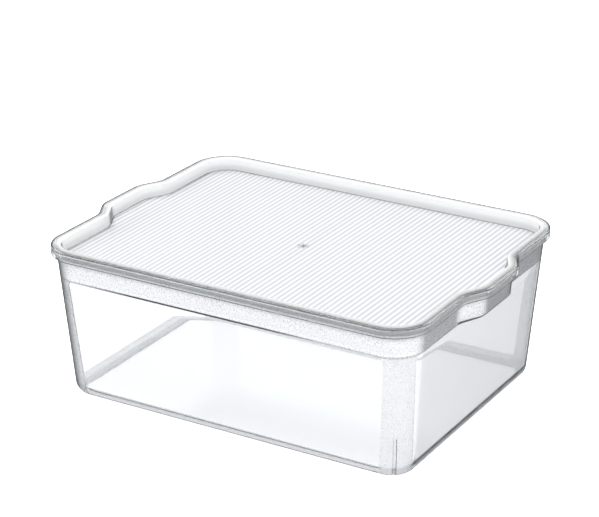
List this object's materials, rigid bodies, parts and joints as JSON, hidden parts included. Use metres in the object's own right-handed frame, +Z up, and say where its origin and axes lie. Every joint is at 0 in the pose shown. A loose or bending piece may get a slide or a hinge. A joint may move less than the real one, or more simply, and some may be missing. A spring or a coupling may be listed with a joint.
{
  "type": "lidded fridge bin",
  "caption": "Clear rectangular storage bin with leaning walls, carrying lips on its short sides and a lift-off, ribbed, recessed stacking lid.",
  "frame": {"origin": "centre of the base, on the surface that the bin stands on", "axes": "+X along the length, towards one carrying lip; +Y across the width; +Z up, the way the lid lifts"},
  "size_m": [0.341, 0.253, 0.1243],
  "materials": {
    "clear_bin": "clear, moulded, with an etched border round polished panes",
    "clear_lid": "clear, moulded, with a ribbed panel"
  },
  "bodies": {
    "bin": {"bin": "clear_bin"},
    "lid": {"lid": "clear_lid"}
  },
  "joints": [
    {"name": "lid_lift", "type": "slide", "parent": "bin", "child": "lid", "axis": [0, 0, 1], "range_m": [0, 0.15]}
  ]
}
